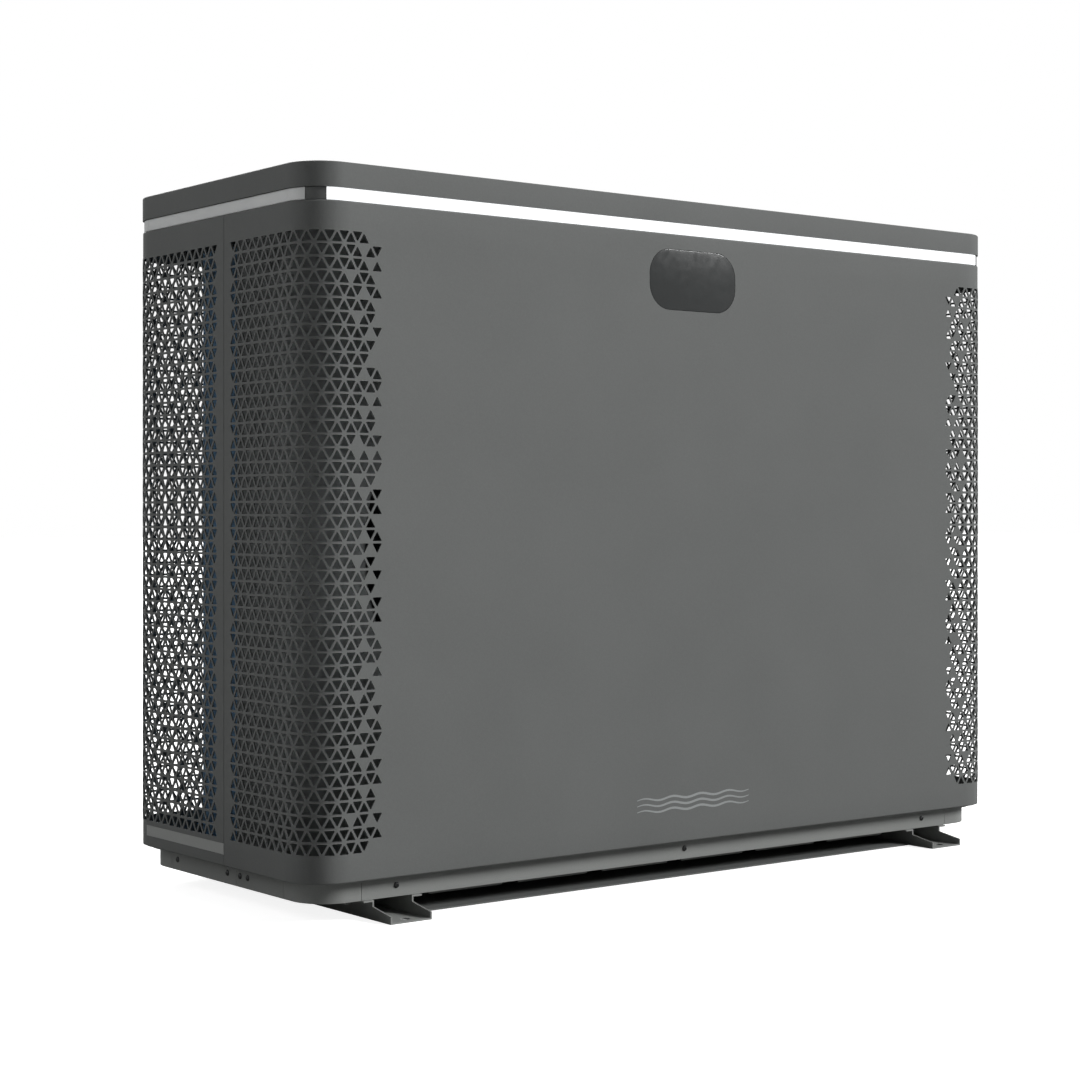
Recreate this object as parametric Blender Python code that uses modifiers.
"""Pool heat pump unit: steel cabinet with wrapped panels, air side, refrigerant side, water side.

Frame: metres, +Z up, +X to the unit's right seen from the front, front face towards -Y.
The origin lies on the ground, under the middle of the cabinet.
"""

from math import cos, pi, radians, sin

import bmesh
import bpy
from mathutils import Matrix, Vector

# ---------------------------------------------------------------- driving dimensions, in metres
BODY_WIDTH = 1.154
BODY_DEPTH = 0.434
OVERALL_HEIGHT = 0.869
CORNER_RADIUS = 0.0475
SHEET = 0.0015          # cabinet sheet
CLEAR = 0.0003          # gap between pieces that touch
CORNER_STEPS = 8        # facets in a rounded corner

FOOT_HEIGHT = 0.023
PANEL_BOTTOM = 0.0485
PANEL_TOP = 0.825
LID_BOTTOM = 0.840
FLANGE = 0.008          # inward fold along the top and bottom of a panel
SEAM_GAP = 0.0008
FRONT_PANEL_DEPTH = 0.191   # from the front face back to the side seam

FOOT_OFFSET = 0.4535    # from the middle to the middle of a foot
FOOT_WIDTH = 0.057
FOOT_FLANGE = 0.012
FOOT_SHEET = 0.002
FOOT_OVERHANG = 0.024
FOOT_TIP_HEIGHT = 0.009
FOOT_STEP_HEIGHT = 0.0155
FOOT_STEP_SETBACK = 0.014   # from the front face back to the full height of the web
ANCHOR_DIAMETER = 0.012
ANCHOR_OVERHANG = 0.0103
CROSS_LEG = 0.100
CROSS_LIFT = 0.001      # a cross rail's height above the ground

BASE_INSET = 0.017      # from the panel face back to the base rails
BASE_CORNER_RADIUS = 0.045
BASE_CORNER_REACH = 0.082   # from the cabinet's corner to the end of a base corner
BASE_FLANGE = 0.011
BASE_GAP = 0.0006
SCREW_SPREAD = 0.447    # from the middle to an outer skirt screw
SCREW_HEIGHT = 0.0365
SCREW_RADIUS = 0.0028
LIP_INSET = 0.037
LIP_DROP = 0.0065
LIP_REACH = 0.505
NOTCH_PITCH = 0.133
NOTCH_WIDTH = 0.025

STRIP_INSET = 0.002
STRIP_THICKNESS = 0.003
BLOCK_START, BLOCK_END = 34, 64     # degrees round the front corner from the side
STRIP_JOINT = 1.1       # degrees between neighbouring strip pieces in a corner
LID_SUPPORT = 0.020     # inward fold of the top frame under the lid

BAND_BOTTOM, BAND_TOP = 0.0625, 0.0757
BAND_THICKNESS = 0.0005

LENS_WIDTH, LENS_HEIGHT, LENS_RADIUS = 0.146, 0.077, 0.0325
LENS_CENTRE_HEIGHT = 0.7667
HOUSING_MARGIN = 0.010
HOUSING_DEPTH = 0.018

COIL_LEFT_GAP = 0.076   # from the side face to the coil
COIL_REAR_GAP = 0.039
COIL_THICKNESS = 0.038
COIL_RADIUS = 0.070
COIL_TOP = 0.800
PARTITION_X = 0.130
FAN_X = -0.165
FAN_RADIUS = 0.242
TIP_GAP = 0.008
RING_DEPTH = 0.060
HUB_RADIUS = 0.055
HUB_LENGTH = 0.045
HUB_BEVEL = 0.006
FAN_NUT_LENGTH = 0.008
SHAFT_STUB = 0.006      # shaft showing in front of the nut
BLADES = 3
BLADE_THICKNESS = 0.003
SHAFT_RADIUS = 0.006
MOTOR_RADIUS = 0.055
MOTOR_LENGTH = 0.088
MOTOR_BOSS_RADIUS, MOTOR_BOSS_LENGTH = 0.022, 0.008
MOTOR_SETBACK = 0.030   # from the deck's rear face to the motor
SHAFT_SEAT = 0.018      # depth of the shaft in the motor
BRACKET_WIDTH = 0.090
BRACKET_FLANGE = 0.020

COMPRESSOR_X, COMPRESSOR_Y = 0.260, 0.095
COMPRESSOR_RADIUS = 0.062
COMPRESSOR_TOP = 0.340
ACCUMULATOR_RADIUS = 0.030
ACCUMULATOR_BOTTOM, ACCUMULATOR_TOP = 0.110, 0.290
VALVE_HEIGHT = 0.520
VALVE_RADIUS = 0.014
VALVE_LENGTH = 0.130
GAS_PIPE_RADIUS = 0.006
LIQUID_PIPE_RADIUS = 0.005
LIQUID_HEIGHT = 0.100
COIL_GAS_HEIGHT = 0.585
EXPANSION_RADIUS = 0.015
EXPANSION_LENGTH = 0.065

EXCHANGER_X, EXCHANGER_Y = 0.455, 0.075
EXCHANGER_RADIUS = 0.075
EXCHANGER_TOP = 0.560
EXCHANGER_GAS_HEIGHT = 0.450
BOSS_RADIUS = 0.030
BOSS_LENGTH = 0.015     # from the exchanger's shell to the boss face
INLET_HEIGHT, OUTLET_HEIGHT = 0.120, 0.420
WATER_OUTER, WATER_INNER = 0.025, 0.0213
COLLAR_RADIUS = 0.030
COLLAR_THICKNESS = 0.004
PIPE_END_INSIDE = 0.008     # from the rear face out to the pipe's end
NUT_RADIUS = 0.039
NUT_LENGTH = 0.042
NUT_REACH = 0.0235      # from the rear face out to the nut's end
NUT_LIP = 0.006
NUT_HOLE_GAP = 0.003
SWITCH_RADIUS, SWITCH_BORE = 0.012, 0.0075
SWITCH_HEIGHT, SWITCH_CAVITY = 0.034, 0.011
SWITCH_SETBACK = 0.034  # from the rear face in to the flow switch
PADDLE_WIDTH, PADDLE_LENGTH, PADDLE_THICKNESS = 0.018, 0.024, 0.0012
PADDLE_PIN_RADIUS = 0.0015
PADDLE_DROP = 0.020     # from the pivot to the top of the paddle plate

BOX_REAR, BOX_FRONT = 0.190, -0.010
BOX_RIGHT = 0.540
BOX_BOTTOM, BOX_TOP = 0.620, 0.790
GLAND_X, GLAND_HEIGHT = 0.300, 0.585
GLAND_RADIUS, GLAND_NECK, GLAND_BORE = 0.013, 0.010, 0.006

# ---------------------------------------------------------------- sizes that follow
HALF_WIDTH, HALF_DEPTH = BODY_WIDTH / 2, BODY_DEPTH / 2
BASE_BOTTOM = FOOT_HEIGHT + CLEAR
PAN_TOP = BASE_BOTTOM + SHEET
FLOOR = PAN_TOP + CLEAR             # where inner pieces stand
CEILING = PANEL_TOP - SHEET - CLEAR     # under the panels' top folds
SEAM_Y = FRONT_PANEL_DEPTH - HALF_DEPTH
INNER_WIDTH = HALF_WIDTH - BASE_INSET - SHEET - CLEAR
INNER_DEPTH = HALF_DEPTH - BASE_INSET - SHEET - CLEAR
DECK_REAR = SEAM_Y + SHEET
FAN_HEIGHT = (FLOOR + CEILING) / 2
RING_RADIUS = FAN_RADIUS + TIP_GAP
MOTOR_FRONT = DECK_REAR + MOTOR_SETBACK
MOTOR_REAR = MOTOR_FRONT + MOTOR_LENGTH
BRACKET_Y = MOTOR_REAR + CLEAR
HUB_FRONT = DECK_REAR - RING_DEPTH * 0.75
COIL_X = -HALF_WIDTH + COIL_LEFT_GAP
COIL_Y = HALF_DEPTH - COIL_REAR_GAP
COIL_MIDDLE_Y = COIL_Y - COIL_THICKNESS / 2
BOSS_Y = EXCHANGER_Y + EXCHANGER_RADIUS + BOSS_LENGTH
PIPE_START_Y = BOSS_Y + CLEAR
PIPE_END_Y = HALF_DEPTH + PIPE_END_INSIDE
NUT_END_Y = HALF_DEPTH + NUT_REACH
NUT_START_Y = NUT_END_Y - NUT_LENGTH
COLLAR_Y = NUT_START_Y + NUT_LIP + CLEAR
SWITCH_Y = HALF_DEPTH - SWITCH_SETBACK
SWITCH_BOTTOM = OUTLET_HEIGHT + WATER_OUTER + CLEAR
PADDLE_PIVOT = SWITCH_BOTTOM + SWITCH_CAVITY / 3

UNIT = bpy.data.collections.new("pool_heat_pump")
CUTTERS = bpy.data.collections.new("cutters")


# ---------------------------------------------------------------- materials
def material(name, colour, roughness, metallic=0.0):
    made = bpy.data.materials.new(name)
    made.use_nodes = True
    shader = made.node_tree.nodes["Principled BSDF"]
    shader.inputs["Base Color"].default_value = (*colour, 1)
    shader.inputs["Roughness"].default_value = roughness
    shader.inputs["Metallic"].default_value = metallic
    return made


# ---------------------------------------------------------------- building helpers
def add(name, bm, colour, collection=UNIT):
    """Turn a bmesh into a named object."""
    mesh = bpy.data.meshes.new(name)
    bm.to_mesh(mesh)
    bm.free()
    piece = bpy.data.objects.new(name, mesh)
    collection.objects.link(piece)
    if colour:
        mesh.materials.append(colour)
    if collection is CUTTERS:
        piece.hide_render = True
        piece.display_type = "WIRE"
    return piece


def smooth(piece, degrees=35):
    piece.data.shade_smooth()
    piece.data.set_sharp_from_angle(angle=radians(degrees))
    return piece


def block(bm, low, high):
    """Add a box between two corners to a bmesh."""
    size = Vector(high) - Vector(low)
    middle = (Vector(high) + Vector(low)) / 2
    bmesh.ops.create_cube(bm, size=1, matrix=Matrix.Translation(middle) @ Matrix.Diagonal((*size, 1)))


def rod(bm, start, end, radius, sides=24):
    """Add a closed cylinder between two points to a bmesh."""
    start, end = Vector(start), Vector(end)
    along = end - start
    turn = along.to_track_quat("Z", "Y").to_matrix().to_4x4()
    bmesh.ops.create_cone(bm, cap_ends=True, segments=sides, radius1=radius, radius2=radius,
                          depth=along.length, matrix=Matrix.Translation((start + end) / 2) @ turn)


def sweep(bm, edges, offset):
    """Draw edges along an offset into faces."""
    grown = bmesh.ops.extrude_edge_only(bm, edges=edges)["geom"]
    bmesh.ops.translate(bm, verts=[g for g in grown if isinstance(g, bmesh.types.BMVert)], vec=offset)


def thicken(bm, face, offset):
    """Draw a face along an offset into a solid."""
    grown = bmesh.ops.extrude_face_region(bm, geom=[face])["geom"]
    bmesh.ops.translate(bm, verts=[g for g in grown if isinstance(g, bmesh.types.BMVert)], vec=offset)


def box(name, low, high, colour):
    bm = bmesh.new()
    block(bm, low, high)
    return add(name, bm, colour)


def combine(piece, other, operation):
    change = piece.modifiers.new(operation.lower(), "BOOLEAN")
    change.operation = operation
    change.solver = "EXACT"
    change.object = other
    return piece


def guide(name, fill):
    """A hidden mesh for cutting or joining, filled by a function that takes the bmesh."""
    bm = bmesh.new()
    fill(bm)
    return add(name, bm, None, CUTTERS)


def turned(name, profile, place, colour, axis="Z", steps=32, collection=UNIT, closed=False):
    """A profile of (radius, height) points, outer side running top to bottom, turned about its axis.

    axis "Y" lays the profile's height along +Y.
    """
    mesh = bpy.data.meshes.new(name)
    count = len(profile)
    edges = [(i, i + 1) for i in range(count - 1)]
    if closed:
        edges.append((count - 1, 0))
    mesh.from_pydata([(r, 0, h) for r, h in profile], edges, [])
    if colour:
        mesh.materials.append(colour)
    piece = bpy.data.objects.new(name, mesh)
    collection.objects.link(piece)
    piece.location = place
    if axis == "Y":
        piece.rotation_euler = (-pi / 2, 0, 0)
    screw = piece.modifiers.new("turn", "SCREW")
    screw.steps = screw.render_steps = steps
    screw.use_merge_vertices = True
    screw.merge_threshold = 0.00001
    screw.use_smooth_shade = True
    return piece


def pipe(name, points, radius, colour):
    """A bent tube through the points, as a curve with filled caps."""
    curve = bpy.data.curves.new(name, "CURVE")
    curve.dimensions = "3D"
    curve.bevel_depth = radius
    curve.bevel_resolution = 2
    curve.use_fill_caps = True
    route = rounded_route(points)
    spline = curve.splines.new("POLY")
    spline.points.add(len(route) - 1)
    for point, place in zip(spline.points, route):
        point.co = (*place, 1)
    curve.materials.append(colour)
    piece = bpy.data.objects.new(name, curve)
    UNIT.objects.link(piece)
    return piece


def rounded_route(points, reach=0.016, steps=4):
    """The points' polyline with each bend replaced by a quadratic arc that starts reach before it."""
    points = [Vector(p) for p in points]
    route = [points[0]]
    for before, bend, after in zip(points, points[1:], points[2:]):
        start = bend + (before - bend).normalized() * min(reach, (before - bend).length * 0.45)
        end = bend + (after - bend).normalized() * min(reach, (after - bend).length * 0.45)
        for i in range(steps + 1):
            t = i / steps
            route.append(start * (1 - t) ** 2 + bend * 2 * t * (1 - t) + end * t ** 2)
    return route + [points[-1]]


def arc(centre_x, centre_y, radius, start, end):
    """Points and outward directions along an arc, angles in degrees."""
    steps = max(2, round(CORNER_STEPS * abs(end - start) / 90))
    turns = [radians(start + (end - start) * i / steps) for i in range(steps + 1)]
    return [((centre_x + radius * cos(a), centre_y + radius * sin(a)), (cos(a), sin(a))) for a in turns]


def ring(inset, radius):
    """The cabinet's plan outline, inset, as four corner arcs in running order."""
    x, y = HALF_WIDTH - inset - radius, HALF_DEPTH - inset - radius
    return {
        "front_left": arc(-x, -y, radius, 180, 270),
        "front_right": arc(x, -y, radius, 270, 360),
        "rear_right": arc(x, y, radius, 0, 90),
        "rear_left": arc(-x, y, radius, 90, 180),
    }


def side_point(inset, y, side):
    """A point on the left (-1) or right (+1) side of the outline."""
    return ((side * (HALF_WIDTH - inset), y), (side, 0))


def end_point(inset, x, end):
    """A point on the front (-1) or rear (+1) of the outline."""
    return ((x, end * (HALF_DEPTH - inset)), (0, end))


def folded(name, path, section, colour, thickness=SHEET, closed=False, capped=False, collection=UNIT):
    """Sheet metal: the plan path is carried up through the section's (outward, height) rows.

    The path runs counterclockwise seen from above, so the faces look outward, and the
    thickness grows inward. A capped sheet also has its last row filled.
    """
    bm = bmesh.new()
    out, height = section[0]
    row = [bm.verts.new((x + nx * out, y + ny * out, height)) for (x, y), (nx, ny) in path]
    for out, height in section[1:]:
        upper = [bm.verts.new((x + nx * out, y + ny * out, height)) for (x, y), (nx, ny) in path]
        for i in range(len(row) if closed else len(row) - 1):
            j = (i + 1) % len(row)
            bm.faces.new((row[i], row[j], upper[j], upper[i]))
        row = upper
    if capped:
        bm.faces.new(row)
    piece = add(name, bm, colour, collection)
    wall = piece.modifiers.new("thickness", "SOLIDIFY")
    wall.thickness = thickness
    wall.offset = -1
    wall.use_even_offset = True
    return smooth(piece)


def rounded_slab(name, width, height, radius, centre_z, y_front, y_rear, colour, collection=UNIT):
    """A flat outline with round corners, standing across the Y axis."""
    bm = bmesh.new()
    x, z = width / 2 - radius, height / 2 - radius
    corners = ((x, z, 0), (-x, z, 90), (-x, -z, 180), (x, -z, 270))
    outline = [point for cx, cz, start in corners for point, _ in arc(cx, cz, radius, start, start + 90)]
    face = bm.faces.new([bm.verts.new((px, y_rear, centre_z + pz)) for px, pz in outline])
    thicken(bm, face, (0, y_front - y_rear, 0))
    bmesh.ops.recalc_face_normals(bm, faces=bm.faces)
    return add(name, bm, colour, collection)


# ---------------------------------------------------------------- chassis
def foot(name, side, steel):
    """Hat-section rail with outward flanges, sloped at both ends, with an anchor hole in each."""
    half, flange = FOOT_WIDTH / 2, FOOT_FLANGE
    reach = HALF_DEPTH + FOOT_OVERHANG
    top = FOOT_HEIGHT - FOOT_SHEET
    hat = ((-half - flange, top), (-half, top), (-half, 0), (half, 0), (half, top), (half + flange, top))
    bm = bmesh.new()
    row = [bm.verts.new((side * FOOT_OFFSET + x, -reach, z)) for x, z in hat]
    edges = [bm.edges.new(pair) for pair in zip(row, row[1:])]
    sweep(bm, edges, (0, 2 * reach, 0))
    bottom = min(bm.faces, key=lambda f: f.calc_center_median().z)
    bottom.normal_update()
    if bottom.normal.z > 0:
        bmesh.ops.reverse_faces(bm, faces=bm.faces)
    rail = add(name, bm, steel)
    wall = rail.modifiers.new("thickness", "SOLIDIFY")
    wall.thickness = FOOT_SHEET
    wall.offset = -1
    wall.use_even_offset = True
    step_y = HALF_DEPTH - FOOT_STEP_SETBACK
    far = reach + 0.01
    slope = (FOOT_STEP_HEIGHT - FOOT_TIP_HEIGHT) / (reach - step_y)
    width = half + flange + 0.01

    def ends_and_anchors(cut):
        for end in (-1, 1):
            profile = ((step_y, FOOT_STEP_HEIGHT), (far, FOOT_TIP_HEIGHT - slope * (far - reach)),
                       (far, FOOT_HEIGHT + 0.01), (step_y, FOOT_HEIGHT + 0.01))
            face = cut.faces.new([cut.verts.new((side * FOOT_OFFSET - width, end * y, z))
                                  for y, z in profile])
            thicken(cut, face, (2 * width, 0, 0))
            hole_y = end * (HALF_DEPTH + ANCHOR_OVERHANG)
            rod(cut, (side * FOOT_OFFSET, hole_y, -0.005), (side * FOOT_OFFSET, hole_y, 0.0055),
                ANCHOR_DIAMETER / 2, 16)
        bmesh.ops.recalc_face_normals(cut, faces=cut.faces)

    return combine(rail, guide(name + "_cutter", ends_and_anchors), "DIFFERENCE")


def cross_rail(name, end, steel):
    """Angle rail between the feet: a flat leg near the ground and an upright under the pan."""
    reach = FOOT_OFFSET - FOOT_WIDTH / 2 - CLEAR
    outer = HALF_DEPTH - BASE_INSET
    inner = outer - CROSS_LEG
    bm = bmesh.new()
    block(bm, (-reach, min(end * outer, end * inner), CROSS_LIFT),
          (reach, max(end * outer, end * inner), CROSS_LIFT + FOOT_SHEET))
    rail = add(name, bm, steel)

    def upright(shape):
        faces = sorted((end * inner, end * (inner + FOOT_SHEET)))
        between = reach - FOOT_FLANGE
        block(shape, (-between, faces[0], CROSS_LIFT + FOOT_SHEET / 2), (between, faces[1], FOOT_HEIGHT))

    return combine(rail, guide(name + "_upright", upright), "UNION")


def base_pan(steel):
    """Flat pan inside the base rails, with a notched lip turned down at front and rear."""
    radius = BASE_CORNER_RADIUS - SHEET - CLEAR
    corners = ring(BASE_INSET + SHEET + CLEAR, radius)
    path = [point for corner in corners.values() for point in corner]
    bm = bmesh.new()
    face = bm.faces.new([bm.verts.new((x, y, PAN_TOP)) for (x, y), _ in path])
    thicken(bm, face, (0, 0, -SHEET))
    bmesh.ops.recalc_face_normals(bm, faces=bm.faces)
    pan = add("base_pan", bm, steel)
    foot_inner = FOOT_OFFSET - FOOT_WIDTH / 2 - FOOT_FLANGE - 0.003
    foot_outer = FOOT_OFFSET + FOOT_WIDTH / 2 + FOOT_FLANGE + 0.003
    notches = int(foot_inner // NOTCH_PITCH)
    stops = [-foot_inner]
    for i in range(-notches, notches + 1):
        stops += [i * NOTCH_PITCH - NOTCH_WIDTH / 2, i * NOTCH_PITCH + NOTCH_WIDTH / 2]
    stops.append(foot_inner)
    spans = list(zip(stops[::2], stops[1::2]))
    spans = [span for span in spans if span[1] - span[0] > 0.004]
    spans += [(-LIP_REACH, -foot_outer), (foot_outer, LIP_REACH)]

    def lips(shape):
        for end in (-1, 1):
            faces = sorted((end * (HALF_DEPTH - LIP_INSET), end * (HALF_DEPTH - LIP_INSET - SHEET)))
            for left, right in spans:
                block(shape, (left, faces[0], BASE_BOTTOM - LIP_DROP),
                      (right, faces[1], BASE_BOTTOM + SHEET / 2))

    return combine(pan, guide("pan_lips", lips), "UNION")


def base_rails(paint):
    """Skirt of straight rails and rounded corner pieces, folded outward under the panels."""
    top = PANEL_BOTTOM - CLEAR - SHEET
    section = ((0, BASE_BOTTOM), (0, top), (BASE_FLANGE, top))
    corners = ring(BASE_INSET, BASE_CORNER_RADIUS)
    end_x = HALF_WIDTH - BASE_CORNER_REACH
    end_y = HALF_DEPTH - BASE_CORNER_REACH
    sides = {"left": -1, "right": 1}
    ends = {"front": -1, "rear": 1}
    for place, points in corners.items():
        end_name, side_name = place.split("_")
        side_end = [side_point(BASE_INSET, ends[end_name] * end_y, sides[side_name])]
        front_end = [end_point(BASE_INSET, sides[side_name] * end_x, ends[end_name])]
        first, last = side_end, front_end
        if place in ("front_right", "rear_left"):
            first, last = front_end, side_end
        folded(place + "_base_corner", first + points + last, section, paint)
    for end_name, end in ends.items():
        span = end_x - BASE_GAP
        path = [end_point(BASE_INSET, x, end) for x in (end * span, -end * span)]
        rail = folded(end_name + "_base_rail", path, section, paint)
        if end < 0:
            combine(rail, guide("skirt_screw_holes", skirt_screw_holes), "DIFFERENCE")
    for side_name, side in sides.items():
        halves = {"front": (-end_y + BASE_GAP, SEAM_Y - BASE_GAP / 2),
                  "rear": (SEAM_Y + BASE_GAP / 2, end_y - BASE_GAP)}
        for half_name, (low, high) in halves.items():
            order = (low, high) if side > 0 else (high, low)
            path = [side_point(BASE_INSET, y, side) for y in order]
            folded(f"{side_name}_{half_name}_side_rail", path, section, paint)


def skirt_screw_holes(cut):
    face = -HALF_DEPTH + BASE_INSET
    for x in (-SCREW_SPREAD, 0, SCREW_SPREAD):
        rod(cut, (x, face - 0.003, SCREW_HEIGHT), (x, face + SHEET + 0.003, SCREW_HEIGHT),
            SCREW_RADIUS + CLEAR, 12)


def skirt_screws(steel):
    """Pan-head screws: a domed head in front of the rail and a threaded shank behind it."""
    face = -HALF_DEPTH + BASE_INSET
    head = SCREW_RADIUS * 1.5
    profile = ((0, 0.010), (SCREW_RADIUS, 0.010), (SCREW_RADIUS, -CLEAR), (head, -CLEAR),
               (head, -0.0010), (head * 0.7, -0.0018), (0, -0.0021))
    for name, x in (("left", -SCREW_SPREAD), ("middle", 0), ("right", SCREW_SPREAD)):
        turned(name + "_skirt_screw", profile, (x, face, SCREW_HEIGHT), steel, "Y", 12)


# ---------------------------------------------------------------- casing
def panel_section():
    return ((-FLANGE, PANEL_BOTTOM), (0, PANEL_BOTTOM), (0, PANEL_TOP), (-FLANGE, PANEL_TOP))


def front_panel(paint):
    """One sheet bent round both front corners, with a window for the display."""
    corners = ring(0, CORNER_RADIUS)
    path = [side_point(0, SEAM_Y - SEAM_GAP / 2, -1), *corners["front_left"],
            *corners["front_right"], side_point(0, SEAM_Y - SEAM_GAP / 2, 1)]
    panel = folded("front_panel", path, panel_section(), paint)
    window = rounded_slab("display_window", LENS_WIDTH + 2 * CLEAR, LENS_HEIGHT + 2 * CLEAR,
                          LENS_RADIUS + CLEAR, LENS_CENTRE_HEIGHT, -HALF_DEPTH - 0.005,
                          -HALF_DEPTH + 0.005, None, CUTTERS)
    return combine(panel, window, "DIFFERENCE")


def left_rear_panel(paint):
    """One sheet bent round the rear left corner, with a shallow groove for the trim band."""
    corners = ring(0, CORNER_RADIUS)
    path = [end_point(0, PARTITION_X - SEAM_GAP / 2, 1), *corners["rear_left"],
            side_point(0, SEAM_Y + SEAM_GAP / 2, -1)]
    panel = folded("left_rear_panel", path, panel_section(), paint)

    def groove(cut):
        block(cut, (-HALF_WIDTH - 0.002, SEAM_Y - 0.002, BAND_BOTTOM - CLEAR),
              (-HALF_WIDTH + BAND_THICKNESS + CLEAR, HALF_DEPTH - CORNER_RADIUS + CLEAR,
               BAND_TOP + CLEAR))

    return combine(panel, guide("band_groove", groove), "DIFFERENCE")


def right_rear_panel(paint):
    """Service panel round the rear right corner, with holes for the unions and the gland."""
    corners = ring(0, CORNER_RADIUS)
    path = [side_point(0, SEAM_Y + SEAM_GAP / 2, 1), *corners["rear_right"],
            end_point(0, PARTITION_X + SEAM_GAP / 2, 1)]
    panel = folded("right_rear_panel", path, panel_section(), paint)

    def holes(cut):
        for height in (INLET_HEIGHT, OUTLET_HEIGHT):
            rod(cut, (EXCHANGER_X, HALF_DEPTH - 0.01, height), (EXCHANGER_X, HALF_DEPTH + 0.01, height),
                NUT_RADIUS + NUT_HOLE_GAP, 32)
        rod(cut, (GLAND_X, HALF_DEPTH - 0.01, GLAND_HEIGHT), (GLAND_X, HALF_DEPTH + 0.01, GLAND_HEIGHT),
            GLAND_NECK + CLEAR, 24)

    return combine(panel, guide("service_holes", holes), "DIFFERENCE")


def light_strips(glow, grey, dark):
    """Strip between panels and lid: lit along the front, dark end blocks, grey on the sides."""
    inset = STRIP_INSET
    radius = CORNER_RADIUS - inset
    section = ((0, PANEL_TOP + CLEAR), (0, LID_BOTTOM - CLEAR))
    x, y = HALF_WIDTH - inset - radius, HALF_DEPTH - inset - radius

    def strip(name, path, colour):
        folded(name, path, section, colour, STRIP_THICKNESS)

    strip("front_light_strip", [*arc(-x, -y, radius, 180 + BLOCK_END + STRIP_JOINT, 270),
                                *arc(x, -y, radius, 270, 360 - BLOCK_END - STRIP_JOINT)], glow)
    strip("left_strip_block", arc(-x, -y, radius, 180 + BLOCK_START, 180 + BLOCK_END), dark)
    strip("right_strip_block", arc(x, -y, radius, 360 - BLOCK_END, 360 - BLOCK_START), dark)
    strip("left_front_corner_strip", arc(-x, -y, radius, 180, 180 + BLOCK_START - STRIP_JOINT), grey)
    strip("right_front_corner_strip", arc(x, -y, radius, 360 - BLOCK_START + STRIP_JOINT, 360), grey)
    strip("left_side_strip", [side_point(inset, end * (y - CLEAR), -1) for end in (1, -1)], grey)
    strip("right_side_strip", [side_point(inset, end * (y - CLEAR), 1) for end in (-1, 1)], grey)
    strip("rear_strip", [*arc(x, y, radius, 0, 90), *arc(-x, y, radius, 90, 180)], grey)


def top_frame(steel):
    """Folded ring behind the strips that carries the lid."""
    inset = STRIP_INSET + STRIP_THICKNESS + CLEAR
    path = [p for corner in ring(inset, CORNER_RADIUS - inset).values() for p in corner]
    top = OVERALL_HEIGHT - SHEET - CLEAR
    section = ((0, PANEL_TOP + CLEAR), (0, top), (-LID_SUPPORT, top))
    return folded("top_frame", path, section, steel, closed=True)


def top_lid(paint):
    path = [p for corner in ring(0, CORNER_RADIUS).values() for p in corner]
    section = ((0, LID_BOTTOM), (0, OVERALL_HEIGHT))
    return folded("top_lid", path, section, paint, closed=True, capped=True)


def trim_band(paint):
    return box("left_trim_band", (-HALF_WIDTH, SEAM_Y + SEAM_GAP / 2, BAND_BOTTOM),
               (-HALF_WIDTH + BAND_THICKNESS, HALF_DEPTH - CORNER_RADIUS, BAND_TOP), paint)


def display(lens, plastic):
    """Flat lens flush in the front panel, and the housing behind it."""
    rounded_slab("display_lens", LENS_WIDTH, LENS_HEIGHT, LENS_RADIUS, LENS_CENTRE_HEIGHT,
                 -HALF_DEPTH, -HALF_DEPTH + SHEET, lens)
    grow = 2 * HOUSING_MARGIN
    rounded_slab("display_housing", LENS_WIDTH + grow, LENS_HEIGHT + grow, LENS_RADIUS,
                 LENS_CENTRE_HEIGHT, -HALF_DEPTH + SHEET + CLEAR,
                 -HALF_DEPTH + SHEET + CLEAR + HOUSING_DEPTH, plastic)


# ---------------------------------------------------------------- air side
def fan_deck(steel):
    """Upright plate behind the side seams, with the fan's ring pulled forward round its hole."""
    bm = bmesh.new()
    block(bm, (-INNER_WIDTH, SEAM_Y, FLOOR), (INNER_WIDTH, DECK_REAR, CEILING))
    deck = add("fan_deck", bm, steel)
    front = DECK_REAR - RING_DEPTH

    def outside(shape):
        rod(shape, (FAN_X, front, FAN_HEIGHT), (FAN_X, DECK_REAR - SHEET / 2, FAN_HEIGHT),
            RING_RADIUS + SHEET, 48)

    def bore(cut):
        rod(cut, (FAN_X, front - 0.01, FAN_HEIGHT), (FAN_X, DECK_REAR + 0.01, FAN_HEIGHT),
            RING_RADIUS, 48)

    combine(deck, guide("deck_ring", outside), "UNION")
    return combine(deck, guide("deck_bore", bore), "DIFFERENCE")


def blade_point(u, v):
    """Place on a blade: u from root to tip, v across the chord, on a helical surface."""
    radius = HUB_RADIUS * 0.9 + (FAN_RADIUS - HUB_RADIUS * 0.9) * u
    chord = radians(62 - 8 * u)
    sweep = radians(26) * u * u
    turn = sweep + chord * (v - 0.5)
    depth = HUB_LENGTH * (0.42 + 0.12 * u)
    y = HUB_FRONT + HUB_LENGTH / 2 - depth * (v - 0.5) * 1.5
    return Vector((radius * sin(turn), y, radius * cos(turn)))


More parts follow.
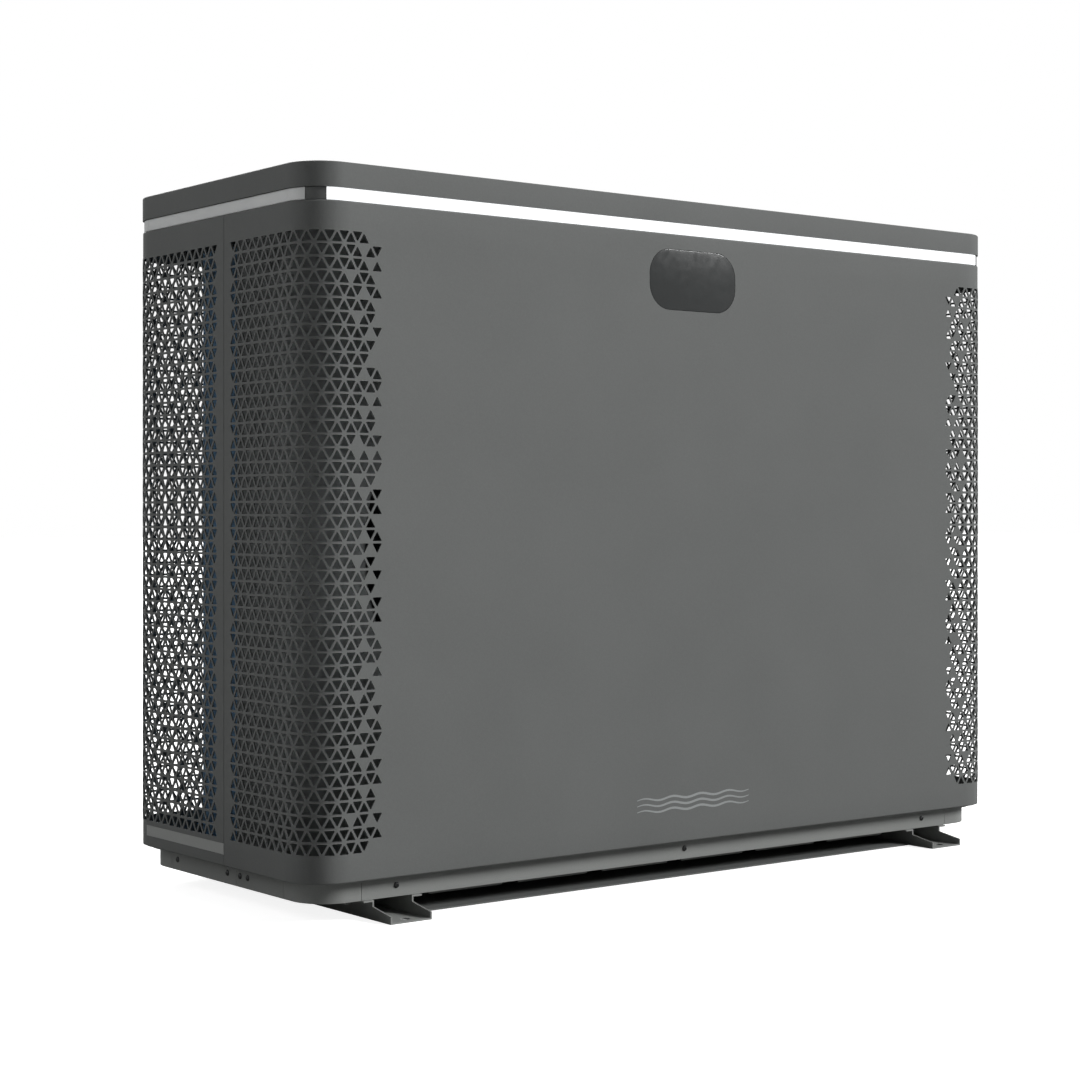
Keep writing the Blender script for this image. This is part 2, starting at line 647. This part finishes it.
def fan(plastic, steel):
    """Hub with three swept blades on a shaft, held by a nut."""
    def blades(shape):
        for i in range(BLADES):
            made = bmesh.ops.create_grid(shape, x_segments=5, y_segments=5, size=0.5)["verts"]
            for vert in made:
                vert.co = blade_point(vert.co.x + 0.5, vert.co.y + 0.5)
            bmesh.ops.rotate(shape, verts=made, matrix=Matrix.Rotation(2 * pi * i / BLADES, 3, "Y"))
            bmesh.ops.translate(shape, verts=made, vec=(FAN_X, 0, FAN_HEIGHT))

    wings = guide("fan_blades", blades)
    wall = wings.modifiers.new("thickness", "SOLIDIFY")
    wall.thickness = BLADE_THICKNESS
    wall.offset = 0
    bore = SHAFT_RADIUS + CLEAR
    hub = ((bore, HUB_LENGTH), (HUB_RADIUS, HUB_LENGTH), (HUB_RADIUS, HUB_BEVEL),
           (HUB_RADIUS - HUB_BEVEL, 0), (bore, 0))
    wheel = turned("fan_wheel", hub, (FAN_X, HUB_FRONT, FAN_HEIGHT), plastic, "Y", 32, closed=True)
    combine(wheel, wings, "UNION")
    bm = bmesh.new()
    rod(bm, (FAN_X, HUB_FRONT - FAN_NUT_LENGTH - SHAFT_STUB, FAN_HEIGHT),
        (FAN_X, MOTOR_FRONT + SHAFT_SEAT - CLEAR, FAN_HEIGHT), SHAFT_RADIUS, 24)
    smooth(add("fan_shaft", bm, steel))
    bm = bmesh.new()
    rod(bm, (FAN_X, HUB_FRONT - CLEAR - FAN_NUT_LENGTH, FAN_HEIGHT),
        (FAN_X, HUB_FRONT - CLEAR, FAN_HEIGHT), SHAFT_RADIUS * 1.8, 6)
    nut = add("fan_nut", bm, steel)

    def nut_bore(cut):
        rod(cut, (FAN_X, HUB_FRONT - 0.03, FAN_HEIGHT), (FAN_X, HUB_FRONT + 0.01, FAN_HEIGHT), bore, 24)

    combine(nut, guide("nut_bore", nut_bore), "DIFFERENCE")


def motor(steel, zinc):
    """Round motor with a blind seat for the shaft, on an upright bracket."""
    bore = SHAFT_RADIUS + CLEAR
    profile = ((0, MOTOR_LENGTH), (MOTOR_RADIUS * 0.8, MOTOR_LENGTH),
               (MOTOR_RADIUS, MOTOR_LENGTH * 0.85), (MOTOR_RADIUS, MOTOR_BOSS_LENGTH + 0.004),
               (MOTOR_RADIUS * 0.92, MOTOR_BOSS_LENGTH),
               (MOTOR_BOSS_RADIUS, MOTOR_BOSS_LENGTH), (MOTOR_BOSS_RADIUS, 0), (bore, 0),
               (bore, SHAFT_SEAT), (0, SHAFT_SEAT))
    turned("fan_motor", profile, (FAN_X, MOTOR_FRONT, FAN_HEIGHT), steel, "Y", 32)
    half = BRACKET_WIDTH / 2
    low, high = BRACKET_Y, BRACKET_Y + BRACKET_FLANGE
    bm = bmesh.new()
    plan = ((FAN_X - half, high), (FAN_X - half, low), (FAN_X + half, low), (FAN_X + half, high))
    row = [bm.verts.new((x, y, FLOOR)) for x, y in plan]
    edges = [bm.edges.new(pair) for pair in zip(row, row[1:])]
    sweep(bm, edges, (0, 0, CEILING - FLOOR))
    web = min(bm.faces, key=lambda f: f.calc_center_median().y)
    web.normal_update()
    if web.normal.y > 0:
        bmesh.ops.reverse_faces(bm, faces=bm.faces)
    bracket = add("motor_bracket", bm, zinc)
    wall = bracket.modifiers.new("thickness", "SOLIDIFY")
    wall.thickness = SHEET
    wall.offset = -1
    wall.use_even_offset = True


def coil(fins):
    """L-shaped finned block along the left side and the rear of the air chamber."""
    section = ((0, FLOOR), (0, COIL_TOP))
    bend = arc(COIL_X + COIL_RADIUS, COIL_Y - COIL_RADIUS, COIL_RADIUS, 90, 180)
    path = [((PARTITION_X - CLEAR, COIL_Y), (0, 1)), *bend, ((COIL_X, DECK_REAR + CLEAR), (-1, 0))]
    return folded("evaporator_coil", path, section, fins, COIL_THICKNESS)


def partition(steel):
    """Wall between the air chamber and the compressor chamber, with two pipe holes."""
    wall = box("partition", (PARTITION_X, DECK_REAR + CLEAR, FLOOR),
               (PARTITION_X + SHEET, INNER_DEPTH, CEILING), steel)

    def holes(cut):
        for height in (LIQUID_HEIGHT, COIL_GAS_HEIGHT):
            rod(cut, (PARTITION_X - 0.01, COIL_MIDDLE_Y, height),
                (PARTITION_X + 0.01, COIL_MIDDLE_Y, height), 2 * GAS_PIPE_RADIUS, 16)

    return combine(wall, guide("pipe_holes", holes), "DIFFERENCE")


# ---------------------------------------------------------------- refrigerant side
def accumulator_x():
    return COMPRESSOR_X - COMPRESSOR_RADIUS - ACCUMULATOR_RADIUS - 0.004


def compressor(steel):
    """Welded steel shell on a three-point plate, with its accumulator strapped to the side."""
    radius = COMPRESSOR_RADIUS
    plate_low = FLOOR + 0.016
    body_low = plate_low + 0.003
    stub = COMPRESSOR_TOP + 0.018
    profile = ((0, stub), (0.008, stub), (0.008, COMPRESSOR_TOP), (radius * 0.6, COMPRESSOR_TOP - 0.004),
               (radius * 0.92, COMPRESSOR_TOP - 0.018), (radius, COMPRESSOR_TOP - 0.040),
               (radius, body_low + 0.010), (radius * 0.9, body_low), (0, body_low))
    shell = turned("compressor", profile, (COMPRESSOR_X, COMPRESSOR_Y, 0), steel, "Z", 32)
    x, y = accumulator_x(), COMPRESSOR_Y

    def extras(shape):
        rod(shape, (COMPRESSOR_X, y, plate_low), (COMPRESSOR_X, y, plate_low + 0.004), radius * 1.36, 32)
        rod(shape, (x, y, ACCUMULATOR_BOTTOM), (x, y, ACCUMULATOR_TOP), ACCUMULATOR_RADIUS, 24)

    def mounts(shape):
        for i in range(3):
            turn = 2 * pi * i / 3 + pi / 6
            foot_x = COMPRESSOR_X + radius * 1.17 * cos(turn)
            foot_y = COMPRESSOR_Y + radius * 1.17 * sin(turn)
            rod(shape, (foot_x, foot_y, FLOOR), (foot_x, foot_y, plate_low + 0.002), 0.011, 16)
        middle = (ACCUMULATOR_BOTTOM + ACCUMULATOR_TOP) / 2
        block(shape, (x, y - 0.018, middle), (COMPRESSOR_X, y + 0.018, middle + 0.020))

    combine(shell, guide("compressor_plate", extras), "UNION")
    return combine(shell, guide("compressor_mounts", mounts), "UNION")


def refrigerant_line(copper, brass):
    """Reversing valve above the compressor, expansion valve at the exchanger, and their pipes."""
    y = COMPRESSOR_Y
    left = accumulator_x() + 0.025
    right = left + VALVE_LENGTH
    under = VALVE_HEIGHT - VALVE_RADIUS - CLEAR
    over = VALVE_HEIGHT + VALVE_RADIUS + CLEAR
    bm = bmesh.new()
    rod(bm, (left, y, VALVE_HEIGHT), (right, y, VALVE_HEIGHT), VALVE_RADIUS, 24)
    smooth(add("reversing_valve", bm, brass))
    stub_top = COMPRESSOR_TOP + 0.018 + CLEAR
    pipe("discharge_pipe", [(COMPRESSOR_X, y, stub_top), (COMPRESSOR_X, y, under)],
         GAS_PIPE_RADIUS, copper)
    suction_x = left + 0.016
    pipe("suction_pipe", [(accumulator_x(), y, ACCUMULATOR_TOP + CLEAR),
                          (accumulator_x(), y, VALVE_HEIGHT - 0.080),
                          (suction_x, y, VALVE_HEIGHT - 0.060), (suction_x, y, under)],
         GAS_PIPE_RADIUS, copper)
    gas_x = right - 0.014
    port_x = EXCHANGER_X - EXCHANGER_RADIUS - CLEAR
    pipe("exchanger_gas_pipe", [(gas_x, y, under), (gas_x, y, EXCHANGER_GAS_HEIGHT + 0.010),
                                (gas_x + 0.020, EXCHANGER_Y, EXCHANGER_GAS_HEIGHT),
                                (port_x, EXCHANGER_Y, EXCHANGER_GAS_HEIGHT)],
         GAS_PIPE_RADIUS, copper)
    middle = (left + right) / 2 + 0.012
    end_x = PARTITION_X
    pipe("coil_gas_pipe", [(middle, y, over), (middle, y, COIL_GAS_HEIGHT),
                           (middle - 0.030, COIL_MIDDLE_Y, COIL_GAS_HEIGHT),
                           (end_x, COIL_MIDDLE_Y, COIL_GAS_HEIGHT)],
         GAS_PIPE_RADIUS, copper)
    apart = EXCHANGER_RADIUS + EXPANSION_RADIUS + CLEAR
    valve_x = EXCHANGER_X - apart * cos(radians(45))
    valve_y = EXCHANGER_Y + apart * sin(radians(45))
    bm = bmesh.new()
    rod(bm, (valve_x, valve_y, LIQUID_HEIGHT - 0.015),
        (valve_x, valve_y, LIQUID_HEIGHT - 0.015 + EXPANSION_LENGTH), EXPANSION_RADIUS, 24)
    smooth(add("expansion_valve", bm, brass))
    behind = COMPRESSOR_Y + COMPRESSOR_RADIUS + 0.018
    pipe("liquid_pipe", [(valve_x - EXPANSION_RADIUS - CLEAR, valve_y, LIQUID_HEIGHT),
                         (valve_x - EXPANSION_RADIUS - 0.020, valve_y, LIQUID_HEIGHT),
                         (COMPRESSOR_X + 0.040, behind, LIQUID_HEIGHT),
                         (COMPRESSOR_X - 0.040, behind, LIQUID_HEIGHT),
                         (PARTITION_X + 0.035, COIL_MIDDLE_Y, LIQUID_HEIGHT),
                         (end_x, COIL_MIDDLE_Y, LIQUID_HEIGHT)],
         LIQUID_PIPE_RADIUS, copper)


# ---------------------------------------------------------------- water side
def heat_exchanger(plastic):
    """Upright shell with a foot ring, a domed top and two side bosses for the water."""
    radius, top = EXCHANGER_RADIUS, EXCHANGER_TOP
    profile = ((0, top), (radius * 0.45, top - 0.004), (radius * 0.8, top - 0.016),
               (radius, top - 0.040), (radius, FLOOR + 0.012), (radius + 0.004, FLOOR + 0.010),
               (radius + 0.004, FLOOR), (0, FLOOR))
    shell = turned("heat_exchanger", profile, (EXCHANGER_X, EXCHANGER_Y, 0), plastic, "Z", 32)

    def bosses(shape):
        for height in (INLET_HEIGHT, OUTLET_HEIGHT):
            rod(shape, (EXCHANGER_X, EXCHANGER_Y, height), (EXCHANGER_X, BOSS_Y, height), BOSS_RADIUS, 32)

    return combine(shell, guide("water_bosses", bosses), "UNION")


def water_connection(name, height, plastic, dark):
    """Water pipe with a collar, and the union nut that turns on it."""
    start, end, collar = PIPE_START_Y, PIPE_END_Y, COLLAR_Y
    tube = ((WATER_INNER, end), (WATER_OUTER, end), (WATER_OUTER, collar + COLLAR_THICKNESS),
            (COLLAR_RADIUS, collar + COLLAR_THICKNESS), (COLLAR_RADIUS, collar),
            (WATER_OUTER, collar), (WATER_OUTER, start), (WATER_INNER, start))
    place = (EXCHANGER_X, 0, height)
    made = turned(f"water_{name}_pipe", tube, place, plastic, "Y", 32, closed=True)
    lip = NUT_START_Y + NUT_LIP
    nut = ((COLLAR_RADIUS + CLEAR, NUT_END_Y), (NUT_RADIUS, NUT_END_Y), (NUT_RADIUS, NUT_START_Y),
           (WATER_OUTER + CLEAR, NUT_START_Y), (WATER_OUTER + CLEAR, lip), (COLLAR_RADIUS + CLEAR, lip))
    turned(f"{name}_union_nut", nut, place, dark, "Y", 32, closed=True)
    return made


def flow_switch(pipe_piece, dark, steel):
    """Switch body on the outlet pipe, with a paddle that hangs through a hole into the flow."""
    def stem_hole(cut):
        rod(cut, (EXCHANGER_X, SWITCH_Y, OUTLET_HEIGHT), (EXCHANGER_X, SWITCH_Y, SWITCH_BOTTOM + 0.01),
            SWITCH_BORE, 16)

    combine(pipe_piece, guide("stem_hole", stem_hole), "DIFFERENCE")
    top, ceiling = SWITCH_HEIGHT, SWITCH_CAVITY
    cup = ((0, top), (SWITCH_RADIUS * 0.8, top), (SWITCH_RADIUS, top - 0.003), (SWITCH_RADIUS, 0),
           (SWITCH_BORE, 0), (SWITCH_BORE, ceiling), (0, ceiling))
    turned("flow_switch", cup, (EXCHANGER_X, SWITCH_Y, SWITCH_BOTTOM), dark, "Z", 24)
    bm = bmesh.new()
    half = PADDLE_THICKNESS / 2
    plate_top = -PADDLE_DROP
    block(bm, (-PADDLE_WIDTH / 2, -half, plate_top - PADDLE_LENGTH), (PADDLE_WIDTH / 2, half, plate_top))
    paddle = add("flow_paddle", bm, steel)
    paddle.location = (EXCHANGER_X, SWITCH_Y, PADDLE_PIVOT)

    def pin(shape):
        reach = SWITCH_BORE - CLEAR
        rod(shape, (-reach, 0, 0), (reach, 0, 0), PADDLE_PIN_RADIUS, 12)

    def stem(shape):
        block(shape, (-0.002, -half * 0.8, plate_top - 0.002), (0.002, half * 0.8, 0))

    for made in (guide("paddle_stem", stem), guide("paddle_pin", pin)):
        made.location = paddle.location
        combine(paddle, made, "UNION")


# ---------------------------------------------------------------- electrical
def control_box(zinc, dark):
    """Open-topped steel box on the partition, its cover, and the cable gland."""
    left = PARTITION_X + SHEET + CLEAR
    case = box("control_box", (left, BOX_FRONT, BOX_BOTTOM), (BOX_RIGHT, BOX_REAR, BOX_TOP), zinc)

    def hollow(cut):
        block(cut, (left + SHEET, BOX_FRONT + SHEET, BOX_BOTTOM + SHEET),
              (BOX_RIGHT - SHEET, BOX_REAR - SHEET, BOX_TOP + 0.01))

    combine(case, guide("box_hollow", hollow), "DIFFERENCE")
    box("control_box_cover", (left, BOX_FRONT, BOX_TOP + CLEAR),
        (BOX_RIGHT, BOX_REAR, BOX_TOP + CLEAR + SHEET), zinc)
    back = HALF_DEPTH + CLEAR
    front = HALF_DEPTH - SHEET - CLEAR
    profile = ((GLAND_BORE, back + 0.018), (GLAND_RADIUS * 0.7, back + 0.018),
               (GLAND_RADIUS, back + 0.012), (GLAND_RADIUS, back), (GLAND_NECK, back),
               (GLAND_NECK, front), (GLAND_RADIUS, front), (GLAND_RADIUS, front - 0.005),
               (GLAND_BORE, front - 0.005))
    turned("cable_gland", profile, (GLAND_X, 0, GLAND_HEIGHT), dark, "Y", 24, closed=True)


# ---------------------------------------------------------------- the unit
def build():
    for piece in list(bpy.data.objects):
        bpy.data.objects.remove(piece, do_unlink=True)
    for group in (UNIT, CUTTERS):
        bpy.context.scene.collection.children.link(group)

    grey = material("dark_grey_powder_coat", (0.135, 0.140, 0.137), 0.55)
    trim = material("light_grey_trim", (0.27, 0.28, 0.28), 0.5)
    black = material("black_coated_steel", (0.022, 0.023, 0.023), 0.6)
    zinc = material("zinc_coated_steel", (0.42, 0.43, 0.44), 0.45, 0.9)
    glow = material("lit_diffuser", (0.95, 0.96, 0.97), 0.4)
    lens = material("tinted_lens", (0.055, 0.057, 0.057), 0.25)
    plastic = material("black_plastic", (0.03, 0.03, 0.03), 0.5)
    fins = material("coated_fins", (0.035, 0.055, 0.085), 0.4, 0.6)
    fan_plastic = material("grey_fan_plastic", (0.06, 0.06, 0.065), 0.5)
    enamel = material("black_enamel", (0.02, 0.02, 0.02), 0.35)
    copper = material("copper_tube", (0.75, 0.36, 0.22), 0.3, 1.0)
    brass = material("brass_body", (0.72, 0.52, 0.25), 0.35, 1.0)
    pvc = material("grey_pvc", (0.30, 0.31, 0.32), 0.45)
    steel = material("stainless_steel", (0.55, 0.55, 0.55), 0.3, 1.0)

    foot("left_foot", -1, black)
    foot("right_foot", 1, black)
    cross_rail("front_cross_rail", -1, black)
    cross_rail("rear_cross_rail", 1, black)
    base_pan(black)
    base_rails(grey)
    skirt_screws(steel)

    front_panel(grey)
    left_rear_panel(grey)
    right_rear_panel(grey)
    trim_band(trim)
    light_strips(glow, trim, black)
    top_frame(black)
    top_lid(grey)
    display(lens, plastic)

    fan_deck(grey)
    fan(fan_plastic, steel)
    motor(black, zinc)
    coil(fins)
    partition(zinc)

    compressor(enamel)
    refrigerant_line(copper, brass)

    heat_exchanger(pvc)
    water_connection("inlet", INLET_HEIGHT, pvc, plastic)
    outlet = water_connection("outlet", OUTLET_HEIGHT, pvc, plastic)
    flow_switch(outlet, plastic, steel)
    control_box(zinc, plastic)


build()
